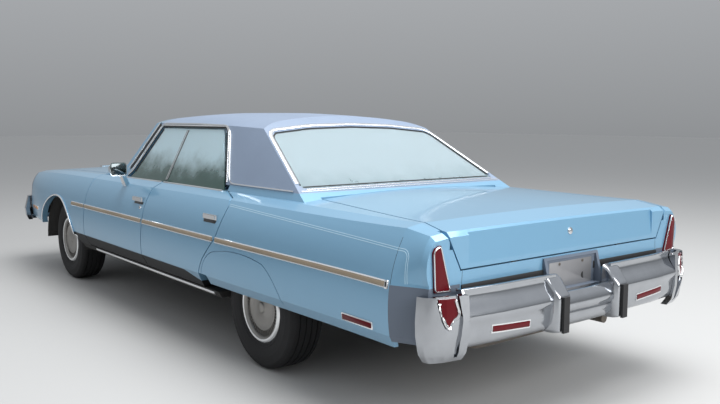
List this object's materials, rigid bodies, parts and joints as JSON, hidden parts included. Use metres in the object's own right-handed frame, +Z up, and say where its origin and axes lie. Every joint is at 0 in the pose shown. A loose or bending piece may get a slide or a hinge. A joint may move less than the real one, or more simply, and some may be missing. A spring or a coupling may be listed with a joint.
{
  "type": "full-size car",
  "caption": "Long four-door hardtop saloon with a vinyl roof, hinged doors, bonnet and boot lid, steering front wheels and a hollow cabin and boot.",
  "frame": {"origin": "on the ground, midway along the overall length and the width", "axes": "+X forward, +Y to the car's left, +Z up"},
  "size_m": [5.911, 2.136, 1.42],
  "materials": {
    "body_paint": "light blue metallic, semi-gloss",
    "vinyl": "grained vinyl",
    "chrome": "polished, lightly scuffed",
    "glass": "clear, misted inside",
    "trim_grey": "satin",
    "black_rubber": "matt",
    "tyre": "matt",
    "wheel_metal": "satin cover",
    "underside": "matt underseal",
    "iron": "dull",
    "steel": "dull",
    "red_lens": "ribbed lens",
    "amber_lens": "ribbed lens",
    "upholstery": "velour",
    "cabin_plastic": "grained"
  },
  "bodies": {
    "body": {"floor_pan": "underside", "front_structure": "underside", "rear_structure": "underside", "roof": "vinyl", "windscreen_frame": "body_paint", "tail_panel": "body_paint", "deck_strip": "body_paint", "windscreen": "glass", "rear_window": "glass", "front_bumper": "chrome", "rear_bumper": "chrome", "bumper_rubbers": "black_rubber", "nose_panel": "body_paint", "grille": "chrome", "front_lamps": "amber_lens", "tail_lamps": "red_lens", "filler_panels": "trim_grey", "plate_recess": "trim_grey", "front_suspension": "iron", "rear_axle": "iron", "drive_shaft": "steel", "exhaust": "steel", "fuel_tank": "steel", "engine": "iron", "front_seat": "upholstery", "rear_seat": "upholstery", "dashboard": "cabin_plastic", "front_fender_left": "body_paint", "front_fender_right": "body_paint", "quarter_left": "body_paint", "quarter_right": "body_paint"},
    "front_door_left": {"front_door_left": "body_paint", "front_door_glass_left": "glass", "front_door_chrome_left": "chrome"},
    "front_wheel_left": {"front_wheel_left": "wheel_metal", "front_tyre_left": "tyre"},
    "rear_door_left": {"rear_door_left": "body_paint", "rear_door_glass_left": "glass", "rear_door_chrome_left": "chrome"},
    "rear_wheel_left": {"rear_wheel_left": "wheel_metal", "rear_tyre_left": "tyre"},
    "knuckle_left": {"knuckle_left": "iron"},
    "front_door_right": {"front_door_right": "body_paint", "front_door_glass_right": "glass", "front_door_chrome_right": "chrome"},
    "front_wheel_right": {"front_wheel_right": "wheel_metal", "front_tyre_right": "tyre"},
    "rear_door_right": {"rear_door_right": "body_paint", "rear_door_glass_right": "glass", "rear_door_chrome_right": "chrome"},
    "rear_wheel_right": {"rear_wheel_right": "wheel_metal", "rear_tyre_right": "tyre"},
    "knuckle_right": {"knuckle_right": "iron"},
    "bonnet": {"bonnet": "body_paint"},
    "boot_lid": {"boot_lid": "body_paint"},
    "steering_wheel": {"steering_wheel": "cabin_plastic"}
  },
  "joints": [
    {"name": "front_door_left_hinge", "type": "hinge", "parent": "body", "child": "front_door_left", "pos_m": [0.988, 0.973, 0.66], "axis": [0, 0, -1], "range_deg": [0, 65]},
    {"name": "rear_door_left_hinge", "type": "hinge", "parent": "body", "child": "rear_door_left", "pos_m": [-0.135, 0.973, 0.66], "axis": [0, 0, -1], "range_deg": [0, 65]},
    {"name": "steer_left", "type": "hinge", "parent": "body", "child": "knuckle_left", "pos_m": [1.735, 0.735, 0.34], "axis": [0, 0, 1], "range_deg": [-32, 32]},
    {"name": "front_wheel_left_spin", "type": "hinge", "parent": "knuckle_left", "child": "front_wheel_left", "pos_m": [1.735, 0.8, 0.34], "axis": [0, 1, 0], "continuous": true},
    {"name": "rear_wheel_left_spin", "type": "hinge", "parent": "body", "child": "rear_wheel_left", "pos_m": [-1.415, 0.8, 0.34], "axis": [0, 1, 0], "continuous": true},
    {"name": "front_door_right_hinge", "type": "hinge", "parent": "body", "child": "front_door_right", "pos_m": [0.988, -0.973, 0.66], "axis": [0, 0, 1], "range_deg": [0, 65]},
    {"name": "rear_door_right_hinge", "type": "hinge", "parent": "body", "child": "rear_door_right", "pos_m": [-0.135, -0.973, 0.66], "axis": [0, 0, 1], "range_deg": [0, 65]},
    {"name": "steer_right", "type": "hinge", "parent": "body", "child": "knuckle_right", "pos_m": [1.735, -0.735, 0.34], "axis": [0, 0, 1], "range_deg": [-32, 32]},
    {"name": "front_wheel_right_spin", "type": "hinge", "parent": "knuckle_right", "child": "front_wheel_right", "pos_m": [1.735, -0.8, 0.34], "axis": [0, 1, 0], "continuous": true},
    {"name": "rear_wheel_right_spin", "type": "hinge", "parent": "body", "child": "rear_wheel_right", "pos_m": [-1.415, -0.8, 0.34], "axis": [0, 1, 0], "continuous": true},
    {"name": "bonnet_hinge", "type": "hinge", "parent": "body", "child": "bonnet", "pos_m": [1.036, 0, 0.978], "axis": [0, -1, 0], "range_deg": [0, 50]},
    {"name": "boot_lid_hinge", "type": "hinge", "parent": "body", "child": "boot_lid", "pos_m": [-1.697, 0, 0.98], "axis": [0, 1, 0], "range_deg": [0, 65]},
    {"name": "steering_wheel_turn", "type": "hinge", "parent": "body", "child": "steering_wheel", "pos_m": [0.6, 0.38, 0.85], "axis": [-0.9063, 0, 0.4226], "range_deg": [-505, 505]}
  ],
  "couplings": [
    {"joint": "steer_right", "follows": "steer_left", "ratio": 1},
    {"joint": "steering_wheel_turn", "follows": "steer_left", "ratio": 15.7}
  ]
}
